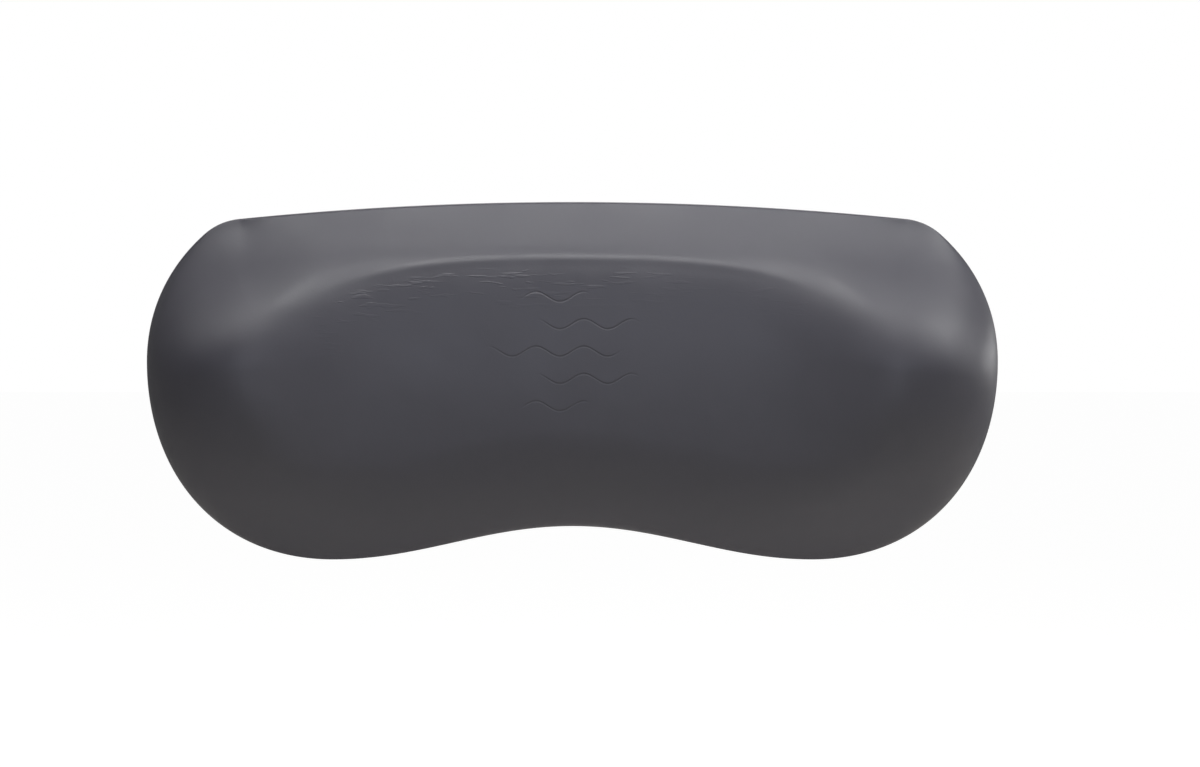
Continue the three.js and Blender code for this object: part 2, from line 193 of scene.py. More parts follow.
class StageSizes(bpy.types.PropertyGroup):
    """The studio floor, what reflections show of the studio, and the frame of the picture."""
    floor_drop: length("Floor drop", 150 * MM, "Floor, below the foot of the pillow on its wall mount")
    floor_half: length("Floor half", 6.0, "Half the width of the floor")
    # a satin skin that mirrored the whole white room would turn grey all over
    mirrored: number("Mirrored white", 0.18, "Share of the white room that reflections show")
    picture_width: number("Picture width", 1.41509, "Width of the picture, in widths of the pillow")
    aim_right: length("Aim right", 12.32 * MM, "Middle of the picture, right of the pillow's middle")
    aim_drop: length("Aim drop", 1.12 * MM, "Middle of the picture, below the pillow's middle")
    aim_depth: length("Aim depth", 10 * MM, "Where the camera looks, in front of the bath wall")
    camera_lift: angle("Camera lift", 2, "How far above the level the camera stands")


class Finishes(bpy.types.PropertyGroup):
    """Colours of the materials."""
    skin: colour("Skin", "#4C4B52", "Moulded polyurethane skin")
    foam: colour("Foam", "#5F5D5C", "Cut polyurethane foam")
    plate: colour("Plate", "#1F1F21", "Polypropylene from a grained tool")
    socket: colour("Socket", "#2E2E32", "Polypropylene from a polished tool")
    cup: colour("Cup", "#DCE4E6", "Soft clear PVC")
    paper: colour("Paper", "#E9E4DC", "Studio paper")


# each with azimuth and elevation in degrees, distance, width and height, aim to the right and level
SOFTBOXES = (
    ("overhead", 0, 74, 0.5, (0.4, 0.08), 0, 1.52),
    ("overhead_front", 0, 58, 0.5, (0.4, 0.08), 0, 0.47),
    ("left_high", -55, 60, 0.7, (0.3, 0.3), -0.04, 0.49),
    ("left_side", -75, 42, 0.7, (0.3, 0.3), -0.08, 0.19),
    ("right_high", 55, 60, 0.55, (0.3, 0.3), 0.04, 0.49),
    ("right_key", 75, 42, 0.6, (0.3, 0.3), 0.08, 1.21),
    ("right_side", 90, 15, 0.6, (0.3, 0.2), 0.08, 0.38),
    ("right_rim", 124, 4, 0.6, (0.2, 0.05), 0.12, 0.36),
    ("back_fill", 180, 25, 0.5, (0.4, 0.3), 0, 0.7),
    ("front_fill", 0, 5, 1.6, (0.8, 0.6), 0, 0.43, "#E8EEFF"),
)


# Curves and the cushion's form


def bezier(points, steps):
    """Points along a Bezier curve of any degree, without its last one."""
    t = np.arange(steps)[:, None] / steps
    levels = [np.broadcast_to(np.asarray(p, float), (steps, 2)) for p in points]
    while len(levels) > 1:
        levels = [a + t * (b - a) for a, b in zip(levels, levels[1:])]
    return levels[0]


def smoothstep(value, low, high):
    """0 below the low value, 1 above the high one, and a smooth rise between them."""
    t = np.clip((value - low) / (high - low), 0, 1)
    return t * t * (3 - 2 * t)


def blended_lower(a, b, blend):
    """The lower of two depths, with the edge between them rounded over the blend."""
    near = np.maximum(blend - np.abs(a - b), 0) / blend
    return np.minimum(a, b) - near * near * blend / 4


def roll_off(distance, width):
    """A quarter ellipse, from 0 at the edge to 1 at the roll's full width."""
    left = 1 - np.clip(distance / width, 0, 1)
    return np.sqrt(1 - left ** 2)


def distance_to(line, points):
    """Distance of each point to a line of points."""
    starts, runs = line[:-1], np.diff(line, axis=0)
    squares = np.maximum((runs ** 2).sum(1), 1e-18)
    nearest = np.empty(len(points))
    # some points at a time, so that the table of gaps stays small
    chunk = 2000
    for first in range(0, len(points), chunk):
        part = points[first:first + chunk, None, :] - starts
        along = np.clip((part * runs).sum(2) / squares, 0, 1)
        gap = part - along[:, :, None] * runs
        nearest[first:first + chunk] = np.sqrt((gap ** 2).sum(2).min(1))
    return nearest


class Cushion:
    """The cushion's outline, its spine and its front surface, at a chosen fineness."""

    def __init__(self, sizes, back, fineness):
        self.s = sizes
        self.back = back
        self.half = sizes.width / 2
        self.crown = sizes.height / 2
        self.foot = -sizes.height / 2
        self.notch = self.foot + sizes.notch_rise
        self.corner_x = self.half - sizes.corner_inset
        self.widest = self.crown - sizes.widest_drop
        self.lobe_x = self.half - sizes.lobe_inset
        self.arch_radius = (self.corner_x ** 2 + sizes.arch_rise ** 2) / (2 * sizes.arch_rise)
        self.draw(fineness)

    def top_edge(self, x):
        """Height of the top edge."""
        return self.crown - self.arch_radius + np.sqrt(np.maximum(self.arch_radius ** 2 - x ** 2, 0))

    def draw(self, fineness):
        """Sets the outline, the spine point of each outline point, and the rim without the top edge."""
        s = self.s
        arch_end = math.asin(self.corner_x / self.arch_radius)
        arch_way = np.array([math.cos(arch_end), -math.sin(arch_end)])
        side_way = np.array([math.cos(s.corner_entry), -math.sin(s.corner_entry)])
        corner = np.array([self.corner_x, self.crown - s.arch_rise])
        corner_start = corner - s.corner_radius * arch_way
        corner_end = corner + s.corner_radius * side_way
        widest = np.array([self.half, self.widest])
        wave = s.notch_ease * self.lobe_x
        lobe_handle = (self.half, self.widest - s.lobe_ease * (self.widest - self.foot))
        side_handle = s.side_ease * np.linalg.norm(widest - corner_end)
        middle = 8 * fineness
        pieces = [
            bezier([(0, self.notch), (wave, self.notch), (self.lobe_x - wave, self.foot),
                    (self.lobe_x, self.foot)], middle),
            bezier([(self.lobe_x, self.foot), (self.lobe_x + s.lobe_ease * s.lobe_inset, self.foot),
                    lobe_handle, widest], 10 * fineness),
            bezier([widest, widest + (0, side_handle), corner_end + side_handle * side_way, corner_end],
                   6 * fineness),
            bezier([corner_end, corner, corner_start], 3 * fineness),
        ]
        rim_count = sum(len(p) for p in pieces) + 1
        shoulder = np.linspace(corner_start[0], self.lobe_x, 3 * fineness, endpoint=False)
        top = np.concatenate([shoulder, np.linspace(self.lobe_x, 0, middle + 1)])
        pieces.append(np.column_stack([top, self.top_edge(top)]))
        right = np.vstack(pieces)
        steps = np.arange(len(right))
        share = np.minimum(1, np.minimum(steps, steps[::-1]) / middle)
        spine = np.column_stack([self.lobe_x * share, np.full(len(right), (self.crown + self.notch) / 2)])
        mirrored = [p[1:-1][::-1] * (-1, 1) for p in (right, spine)]
        self.outline = np.vstack([right, mirrored[0]])
        self.spine = np.vstack([spine, mirrored[1]])
        self.rim = np.vstack([right[:rim_count][::-1] * (-1, 1), right[1:rim_count]])

    def ring(self, share):
        """The outline drawn towards the spine, from 1 at the edge to 0 on the spine."""
        return self.spine + share * (self.outline - self.spine)

    def inset_rings(self, insets):
        """The outline drawn in by even distances."""
        steps, crowding = 160, 1.5
        shares = 1 - np.linspace(0, 1, steps) ** crowding
        closed = np.vstack([self.outline, self.outline[:1]])
        gaps = np.array([distance_to(closed, self.ring(share)) for share in shares])
        found = []
        for inset in insets:
            share = np.array([np.interp(inset, np.maximum.accumulate(column), shares) for column in gaps.T])
            found.append(self.spine + share[:, None] * (self.outline - self.spine))
        return found

    def roll(self, x, z):
        """Thickness of the top slope and the lobes, before the hollow is pressed in."""
        s = self.s
        below = self.top_edge(x) - z
        sweep = below ** 2 / (2 * s.top_slope_sweep)
        slope = s.top_edge_depth + math.tan(s.top_slope_angle) * below + sweep
        crest = self.crown - s.crest_drop
        lean = np.maximum(crest - z, 0) / (crest - self.foot)
        lobes = s.lobe_depth - s.lobe_fall * lean ** s.lobe_power
        return blended_lower(slope, lobes, s.crest_blend)

    def floor(self, x, z):
        """Thickness at the hollow's floor: hollow across, and bowed out for the nape from top to foot."""
        s = self.s
        above = np.maximum(z - self.crown + s.hollow_drop, 0)
        spread = ((np.abs(x) / s.hollow_reach) ** 3 + (above / s.hollow_rise) ** 3) ** 1.5
        bow = (z - self.crown + s.nape_drop) ** 2 / (2 * s.nape_bow)
        return s.lobe_depth - s.hollow_depth * (1 - spread) - bow

    def depth(self, x, z):
        """Depth of the front surface, from the bath wall."""
        s = self.s
        above = (z - self.crown + s.hollow_drop) / s.hollow_rise
        near = 1 - smoothstep(np.abs(x), s.hollow_reach / 2, s.hollow_reach)
        # shares of the hollow's rise between which its blend turns into that of the rim or the foot
        start, full = 0.1, 0.6
        crisp = smoothstep(above, start, full) * near
        low = smoothstep(-above, start, full)
        blend = s.flank_blend + (s.rim_blend - s.flank_blend) * crisp + (s.foot_blend - s.flank_blend) * low
        roll, floor = self.roll(x, z), self.floor(x, z)
        lip = s.rim_lip * crisp * np.exp(-((roll - floor) / s.lip_width + 1) ** 2)
        body = blended_lower(roll, floor, blend) + lip
        edge = roll_off(distance_to(self.rim, np.column_stack([x, z])), s.edge_roll)
        top = roll_off(self.top_edge(x) - z, s.top_edge_roll)
        return self.back + s.edge_land + (body - s.edge_land) * edge * top

    def front_ring(self, share, inset=0.0):
        """One ring of the front surface, moved in along its normal by the inset, as x, depth and z."""
        x, z = self.ring(share).T
        depth = self.depth(x, z)
        if inset:
            step = 0.05 * MM
            slope_x = (self.depth(x + step, z) - self.depth(x - step, z)) / (2 * step)
            slope_z = (self.depth(x, z + step) - self.depth(x, z - step)) / (2 * step)
            long = np.sqrt(1 + slope_x ** 2 + slope_z ** 2) / inset
            x, z, depth = x + slope_x / long, z + slope_z / long, depth - 1 / long
        return np.column_stack([x, -depth, z])


def flat_ring(points, depth):
    """Points of the cushion's plane as a ring at one depth."""
    return np.column_stack([points[:, 0], np.full(len(points), -depth), points[:, 1]])


# Meshes


def new_piece(name, mesh, material, body, *nodes):
    """Links a finished mesh as a smooth piece that rides on a body and stands for CAD nodes."""
    piece = bpy.data.objects.new(name, mesh)
    bpy.context.scene.collection.objects.link(piece)
    mesh.materials.append(material)
    mesh.shade_smooth()
    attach(piece, body)
    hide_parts(*nodes)
    return piece


def lofted_mesh(name, rings, closed_start=False):
    """A mesh over rings of equal length. Ring points that fall together are welded."""
    count = len(rings[0])
    made = bmesh.new()
    rows = [[made.verts.new(p) for p in ring] for ring in rings]
    for low, high in zip(rows, rows[1:]):
        for i in range(count):
            made.faces.new((low[i], low[(i + 1) % count], high[(i + 1) % count], high[i]))
    if closed_start:
        made.faces.new(rows[0][::-1])
    bmesh.ops.remove_doubles(made, verts=made.verts, dist=1e-7)
    mesh = bpy.data.meshes.new(name)
    made.to_mesh(mesh)
    made.free()
    return mesh


def turned_rings(profile, centre, sides, reach=None):
    """Rings of a turned piece round an axis along the depth, from rows of a radius and a depth.

    reach gives how far a tab stands out at each angle. A row's third number is its share of that.
    """
    angles = np.arange(sides) * 2 * math.pi / sides
    tab = np.zeros(sides) if reach is None else reach(angles)
    rings = []
    for radius, depth, *share in profile:
        out = radius + sum(share) * tab
        rings.append(np.column_stack([centre[0] + out * np.cos(angles), np.full(sides, -depth),
                                      centre[1] + out * np.sin(angles)]))
    return rings


def joined(name, meshes):
    """One mesh from several."""
    made = bmesh.new()
    for mesh in meshes:
        made.from_mesh(mesh)
        bpy.data.meshes.remove(mesh)
    mesh = bpy.data.meshes.new(name)
    made.to_mesh(mesh)
    made.free()
    return mesh


def socket_centre(place):
    """Where a socket's axis crosses the cushion's plane."""
    low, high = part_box(f"cup_socket_{place}")
    return ((low.x + high.x) / 2, (low.z + high.z) / 2)


def lock_centres(back):
    """Where the foam locks through the plate."""
    middle = sum(socket_centre(place)[1] for place in PLACES) / len(PLACES)
    first = -(back.lock_count - 1) / 2
    return [((first + i) * back.lock_pitch, middle + back.lock_row) for i in range(back.lock_count)]


# Materials


def add_node(tree, kind, inputs=(), **settings):
    """Adds a shader node, applies its settings, and sets or links its inputs."""
    made = tree.nodes.new("ShaderNode" + kind)
    for key, value in settings.items():
        setattr(made, key, value)
    for key, value in dict(inputs).items():
        if isinstance(value, bpy.types.NodeSocket):
            tree.links.new(value, made.inputs[key])
        else:
            made.inputs[key].default_value = value
    return made


def new_material(name):
    """An empty material and its node tree."""
    material = bpy.data.materials.new(name)
    material.use_nodes = True
    material.node_tree.nodes.clear()
    return material, material.node_tree


def finish_material(tree, shader):
    """Sends a shader to the material's output."""
    add_node(tree, "OutputMaterial", {"Surface": shader.outputs[0]})


def per_mm(size):
    """Texture scale that draws features about this many millimetres across."""
    return 1 / (size * MM)


def calculate(tree, operation, *values):
    """The result of a Math node on these numbers or sockets."""
    return add_node(tree, "Math", dict(enumerate(values)), operation=operation).outputs[0]


def noise(tree, place, size, **inputs):
    """A noise pattern with features about this many millimetres across."""
    return add_node(tree, "TexNoise", {"Vector": place, "Scale": per_mm(size), **inputs}).outputs["Fac"]


def ranged(tree, value, source=(0.0, 1.0), target=(0.0, 1.0), **settings):
    """A value taken from one range to another."""
    inputs = {"Value": value, "From Min": source[0], "From Max": source[1]}
    inputs.update({"To Min": target[0], "To Max": target[1]})
    return add_node(tree, "MapRange", inputs, **settings).outputs[0]


def toned(base, factor):
    """A colour made darker or lighter by a factor."""
    return [min(factor * value, 1) for value in base[:3]] + [1]


def mottled(tree, base, dark, light, pattern):
    """The base colour, drifting between a darker and a lighter tone with a pattern."""
    tones = {"Fac": pattern, "Color1": toned(base, dark), "Color2": toned(base, light)}
    return add_node(tree, "MixRGB", tones).outputs[0]


def raised(tree, height, distance, strength=1.0, over=None, **settings):
    """A surface normal with a pattern raised on it, over an earlier normal where there is one."""
    inputs = {"Height": height, "Strength": strength, "Distance": distance}
    if over is not None:
        inputs["Normal"] = over
    return add_node(tree, "Bump", inputs, **settings).outputs[0]


def wave_lines(tree, place, design):
    """Fine wavy lines, one above the other, where the mesh asks for the design."""
    axes = add_node(tree, "SeparateXYZ", {0: place}).outputs
    turn = calculate(tree, "MULTIPLY", axes["X"], 2 * math.pi / design.wave)
    sway = calculate(tree, "SINE", turn)
    level = calculate(tree, "MULTIPLY_ADD", sway, -design.sway, axes["Z"])
    off = calculate(tree, "SUBTRACT", level, design.level)
    gap = calculate(tree, "PINGPONG", off, design.pitch / 2)
    line = ranged(tree, gap, (0.0, design.line), (1.0, 0.0), interpolation_type="SMOOTHSTEP")
    shown = add_node(tree, "Attribute", attribute_name="design_share").outputs["Fac"]
    return calculate(tree, "MULTIPLY", line, shown)


def crease_lines(tree, place):
    """Short, nearly level hairlines, about 12 mm long and 2 mm apart, where the mesh asks for them."""
    stretched = add_node(tree, "Mapping", {"Vector": place, "Rotation": (0, math.radians(8), 0),
                                           "Scale": (per_mm(12), per_mm(12), per_mm(2))})
    pattern = add_node(tree, "TexNoise", {"Vector": stretched.outputs[0], "Scale": 1.0, "Detail": 2.0,
                                          "Roughness": 0.5, "Distortion": 0.3})
    hairline = ranged(tree, pattern.outputs["Fac"], (0.55, 0.69), interpolation_type="SMOOTHSTEP")
    shown = add_node(tree, "Attribute", attribute_name="crease_share").outputs["Fac"]
    return calculate(tree, "MULTIPLY", hairline, shown)


def polyurethane_skin(base, design):
    """Integral-skin polyurethane: dense, satin, taken from a finely blasted mould, with soft creases."""
    material, tree = new_material("polyurethane_integral_skin")
    place = add_node(tree, "TexCoord").outputs["Object"]
    # the blasted mould leaves a grain of about 0.3 mm, drawn at 1.1 mm so that it shows
    grain = noise(tree, place, 1.1, Detail=2.0)
    # the skin draws in unevenly as it cures, and handling polishes it in patches
    waves = noise(tree, place, 38, Detail=2.0)
    smudge = noise(tree, place, 22, Detail=5.0, Roughness=0.6)
    relief = raised(tree, waves, 0.7 * MM)
    relief = raised(tree, crease_lines(tree, place), 0.13 * MM, over=relief)
    relief = raised(tree, wave_lines(tree, place, design), design.groove, over=relief, invert=True)
    relief = raised(tree, grain, 0.05 * MM, 0.5, relief)
    shader = add_node(tree, "BsdfPrincipled", {
        "Base Color": mottled(tree, base, 0.9, 1.1, smudge),
        "Roughness": ranged(tree, smudge, (0.3, 0.7), (0.4, 0.52)),
        "IOR": 1.5,
        "Normal": relief,
    })
    finish_material(tree, shader)
    return material


def polyurethane_foam(base):
    """Open-cell polyurethane foam: matte, with cells of about 0.8 mm that shade each other."""
    material, tree = new_material("polyurethane_foam")
    place = add_node(tree, "TexCoord").outputs["Object"]
    cells = add_node(tree, "TexVoronoi", {"Vector": place, "Scale": per_mm(0.8)}).outputs["Distance"]
    shader = add_node(tree, "BsdfPrincipled", {
        # the colour is painted darker towards each cell's middle, as painted shade in the pores, on top of
        # the cells' bumps
        "Base Color": mottled(tree, base, 0.6, 1.0, cells),
        "Roughness": 0.95,
        "Normal": raised(tree, cells, 0.4 * MM, 0.9),
    })
    finish_material(tree, shader)
    return material


def grained_polypropylene(base):
    """Injection-moulded polypropylene from a spark-eroded tool: dull black with a fine even grain."""
    material, tree = new_material("polypropylene_grained_tool")
    place = add_node(tree, "TexCoord").outputs["Object"]
    # the eroded tool leaves a grain of about 0.1 mm, drawn at 0.7 mm so that it shows
    grain = noise(tree, place, 0.7, Detail=3.0)
    flow = noise(tree, place, 45, Detail=3.0, Distortion=0.8)
    shader = add_node(tree, "BsdfPrincipled", {
        "Base Color": mottled(tree, base, 0.85, 1.2, flow),
        "Roughness": ranged(tree, flow, target=(0.5, 0.64)),
        "IOR": 1.49,
        "Normal": raised(tree, grain, 0.06 * MM, 0.6),
    })
    finish_material(tree, shader)
    return material


def polished_polypropylene(base):
    """Injection-moulded polypropylene from a polished tool: dark, waxy and a little glossy."""
    material, tree = new_material("polypropylene_polished_tool")
    place = add_node(tree, "TexCoord").outputs["Object"]
    flow = noise(tree, place, 6, Detail=3.0)
    shader = add_node(tree, "BsdfPrincipled", {
        "Base Color": mottled(tree, base, 0.88, 1.12, flow),
        "Roughness": ranged(tree, flow, target=(0.28, 0.4)),
        "IOR": 1.49,
    })
    finish_material(tree, shader)
    return material


def soft_pvc(base):
    """Plasticised clear PVC: glassy and soft, a little cloudy where it was handled."""
    material, tree = new_material("soft_clear_pvc")
    place = add_node(tree, "TexCoord").outputs["Object"]
    haze = noise(tree, place, 9, Detail=4.0)
    shader = add_node(tree, "BsdfPrincipled", {
        "Base Color": list(base),
        "Roughness": ranged(tree, haze, target=(0.06, 0.2)),
        "IOR": 1.53,
        "Transmission Weight": 0.9,
        "Normal": raised(tree, haze, 0.2 * MM, 0.3),
    })
    finish_material(tree, shader)
    return material


def shown_white(tree, mirrored):
    """How far a ray sees the studio as plain white.

    From the camera or through clear plastic it does so fully, in a reflection by a share, else not at all.
    """
    path = add_node(tree, "LightPath").outputs
    straight = calculate(tree, "MAXIMUM", path["Is Camera Ray"], path["Is Transmission Ray"])
    glossy = calculate(tree, "MULTIPLY", path["Is Glossy Ray"], mirrored)
    return calculate(tree, "MAXIMUM", straight, glossy)


def studio_paper(base, mirrored):
    """Matte white paper that shows white and still takes the object's shadow."""
    material, tree = new_material("studio_paper")
    plain = add_node(tree, "BsdfDiffuse", {"Color": list(base)})
    soft = add_node(tree, "BsdfDiffuse", {"Color": toned(base, 0.3)})
    glow = add_node(tree, "Emission", {"Color": (1, 1, 1, 1), "Strength": 0.985})
    white = add_node(tree, "AddShader", {0: soft.outputs[0], 1: glow.outputs[0]})
    shader = add_node(tree, "MixShader", {0: shown_white(tree, mirrored), 1: plain.outputs[0],
                                          2: white.outputs[0]})
    finish_material(tree, shader)
    return material


# Pieces


class BATHPILLOW_OT_skin(bpy.types.Operator):
    """Moulds the skin over the front, the edges, the back border and the wall of the recess"""
    bl_idname = "bath_pillow.skin"
    bl_label = "Mould the skin"

    def execute(self, context):
        scene = context.scene
        sizes, back, design = scene.pillow_cushion, scene.pillow_back, scene.pillow_design
        form = Cushion(sizes, back.back, fineness=10)
        rings = self.border(form, back) + self.parting_line(form, sizes, back)
        # the rings of the front crowd towards its edge
        count, crowding = 95, 1.8
        shares = 1 - (np.arange(1, count + 1) / count) ** crowding
        rings += [form.front_ring(share) for share in shares]
        mesh = lofted_mesh("skin", rings)
        self.mark_creases(mesh, form)
        self.mark_design(mesh, form, design)
        material = polyurethane_skin(scene.pillow_finishes.skin, design)
        piece = new_piece("skin", mesh, material, "cushion", "moulded_skin")
        shell = piece.modifiers.new("thickness", "SOLIDIFY")
        shell.thickness = sizes.skin
        shell.offset = -1
        return {"FINISHED"}

    def border(self, form, back):
        """Rings of the recess's wall and of the flat border round it, which has rounded edges."""
        turn = np.radians(np.linspace(0, 90, 6))
        bend, edge = back.border_round, back.border
        mouth = [(edge - bend * (1 - math.cos(a)), back.back + bend * (1 - math.sin(a))) for a in turn]
        outer = [(bend * (1 - math.sin(a)), back.back + bend * (1 - math.cos(a))) for a in turn]
        flat = [(inset, back.back) for inset in np.linspace(mouth[-1][0], outer[0][0], 8)[1:-1]]
        profile = [(edge, back.plate_outer - back.clearance)] + mouth + flat + outer
        insets = form.inset_rings([inset for inset, depth in profile])
        return [flat_ring(points, depth) for points, (inset, depth) in zip(insets, profile)]

    def parting_line(self, form, sizes, back):
        """Rings of the straight land, with the fine bead that the mould's joint left on it."""
        closed = np.vstack([form.outline[-1:], form.outline, form.outline[:1]])
        along = closed[2:] - closed[:-2]
        along /= np.linalg.norm(along, axis=1)[:, None]
        outward = np.column_stack([along[:, 1], -along[:, 0]])
        bead = sizes.parting_bead
        middle = back.back + sizes.edge_land / 2
        rings = []
        # steps across the bead and how far each stands out, both in heights of the bead
        for step, lift in ((-2, 0), (-1, 0.7), (0, 1), (1, 0.7), (2, 0)):
            rings.append(flat_ring(form.outline + outward * bead * lift, middle + bead * step))
        return rings + [flat_ring(form.outline, back.back + sizes.edge_land)]

    def mark_creases(self, mesh, form):
        """Stores how far the skin creases: most just below the hollow's rim, left of the middle."""
        points = np.array([v.co for v in mesh.vertices])
        x, z = points[:, 0], points[:, 2]
        inside = form.roll(x, z) - form.floor(x, z)
        start, full, fade, end = 0.5 * MM, 3 * MM, 4 * MM, 15 * MM
        band = smoothstep(inside, start, full) * (1 - smoothstep(inside, fade, end))
        fewer = 0.8
        side = 1 - fewer * smoothstep(x, -20 * MM, 70 * MM)
        upper = smoothstep(z, -10 * MM, 20 * MM) * (1 - smoothstep(np.abs(x), 90 * MM, 120 * MM))
        self.store(mesh, "crease_share", band * side * upper * self.on_front(points, form))

    def mark_design(self, mesh, form, design):
        """Stores where the wavy lines show: rows that shorten up and down, each shifted from the last."""
        points = np.array([v.co for v in mesh.vertices])
        x, z = points[:, 0], points[:, 2]
        row = np.round((z - design.level) / design.pitch)
        last = (design.rows - 1) / 2
        shortening, shift, tip = 0.5, 0.12, 0.7
        reach = design.width / 2 * np.maximum(1 - shortening * np.abs(row) / last, 0.1)
        off = np.abs(x - np.where(row % 2, shift, -shift) * design.width)
        shown = (1 - smoothstep(off, tip * reach, reach)) * (np.abs(row) <= last)
        self.store(mesh, "design_share", shown * self.on_front(points, form))

    def on_front(self, points, form):
        """Which points lie on the front surface."""
        return points[:, 1] < -form.back - form.s.edge_land

    def store(self, mesh, name, values):
        """Stores one value for each point of the mesh, for the material to read."""
        mesh.attributes.new(name, "FLOAT", "POINT").data.foreach_set("value", values)


class BATHPILLOW_OT_foam(bpy.types.Operator):
    """Fills the skin with foam that locks through the plate"""
    bl_idname = "bath_pillow.foam"
    bl_label = "Fill with foam"

    def execute(self, context):
        sizes, back = context.scene.pillow_cushion, context.scene.pillow_back
        form = Cushion(sizes, back.back, fineness=3)
        gap = sizes.skin + back.clearance
        plate_edge = back.border - back.plate_lap - back.clearance
        profile = [
            (plate_edge, back.plate_inner + back.clearance),
            (plate_edge, back.plate_outer - back.clearance),
            (back.border - gap, back.plate_outer - back.clearance),
            (back.border - gap, back.back + gap),
            (gap, back.back + gap),
            (gap, back.back + sizes.edge_land),
        ]
        insets = form.inset_rings([inset for inset, depth in profile])
        rings = [flat_ring(points, depth) for points, (inset, depth) in zip(insets, profile)]
        first, count, crowding = 0.04, 26, 1.3
        shares = 1 - np.linspace(first, 1, count) ** crowding
        rings += [form.front_ring(share, gap) for share in shares]
        core = lofted_mesh("core", rings, closed_start=True)
        material = polyurethane_foam(context.scene.pillow_finishes.foam)
        piece = new_piece("foam", joined("foam", [core] + self.locks(back)), material, "cushion", "foam_core")
        return {"FINISHED"}

    def locks(self, back):
        """Plugs of foam in the plate's holes, with a low dome outside and a foot sunk into the core."""
        radius = back.lock_radius - back.clearance
        dome = 0.6 * MM
        sunk = back.plate_inner + 2 * back.clearance
        profile = [(radius * math.cos(a), back.plate_outer + dome * (1 - math.sin(a)))
                   for a in np.radians(np.linspace(90, 0, 7))]
        profile += [(radius, sunk), (0, sunk)]
        return [lofted_mesh("lock", turned_rings(profile, centre, 48)) for centre in lock_centres(back)]


class BATHPILLOW_OT_plate(bpy.types.Operator):
    """Makes the plate in the recess, with its holes and rounded edges"""
    bl_idname = "bath_pillow.plate"
    bl_label = "Make the back plate"

    def execute(self, context):
        scene = context.scene
        back, cups = scene.pillow_back, scene.pillow_cups
        form = Cushion(scene.pillow_cushion, back.back, fineness=6)
        hole = cups.head_radius + cups.socket_wall + 2 * back.clearance
        angles = np.linspace(0, -2 * math.pi, 72, endpoint=False)
        circle = np.column_stack([np.cos(angles), np.sin(angles)])
        outlines = form.inset_rings([back.border - back.plate_lap])
        outlines += [circle * hole + socket_centre(place) for place in PLACES]
        outlines += [circle * back.lock_radius + centre for centre in lock_centres(back)]
        mesh = joined("plate", [self.slab(outlines, back)] + self.raised_details(back))
        material = grained_polypropylene(scene.pillow_finishes.plate)
        piece = new_piece("plate", mesh, material, "cushion", "back_plate")
        mesh.set_sharp_from_angle(angle=math.radians(40))
        return {"FINISHED"}

    def slab(self, outlines, back):
        """The filled outline with its holes, drawn out to the plate's thickness with rounded edges."""
        bevel = 0.35 * MM
        drawn = bpy.data.curves.new("plate_outline", "CURVE")
        drawn.dimensions = "2D"
        drawn.fill_mode = "BOTH"
        drawn.extrude = (back.plate_inner - back.plate_outer) / 2 - bevel
        drawn.bevel_depth = bevel
        drawn.bevel_resolution = 2
        drawn.offset = -bevel
        for points in outlines:
            spline = drawn.splines.new("POLY")
            spline.points.add(len(points) - 1)
            spline.points.foreach_set("co", np.column_stack([points, np.zeros((len(points), 2))]).ravel())
            spline.use_cyclic_u = True
        outline = bpy.data.objects.new("plate_outline", drawn)
        mesh = bpy.data.meshes.new_from_object(outline)
        bpy.data.objects.remove(outline)
        points = np.array([v.co for v in mesh.vertices])
        middle = (back.plate_inner + back.plate_outer) / 2
        placed = np.column_stack([points[:, 0], -middle - points[:, 2], points[:, 1]])
        mesh.vertices.foreach_set("co", placed.ravel())
        return mesh

    def raised_details(self, back):
        """A collar round each socket and a row of ejector pin marks, sunk a little into the plate."""
        face, sunk = back.plate_outer, back.plate_outer + back.clearance
        inner = (SOCKET_HIGH.x - SOCKET_LOW.x) / 2 + back.clearance
        outer = inner + back.collar_width
        edge = 0.3 * MM
        top = face - back.collar_height
        collar = [(inner, sunk), (inner, top + edge), (inner + edge, top), (outer - edge, top),
                  (outer, top + edge), (outer, sunk), (inner, sunk)]
        pin_top = face - back.pin_height
        pin = [(0, pin_top), (back.pin_radius - edge, pin_top), (back.pin_radius, face),
               (back.pin_radius, sunk), (0, sunk)]
        meshes = [lofted_mesh("collar", turned_rings(collar, socket_centre(place), 96)) for place in PLACES]
        for x, z in lock_centres(back):
            meshes.append(lofted_mesh("pin", turned_rings(pin, (x, z - back.pin_drop), 32)))
        return meshes


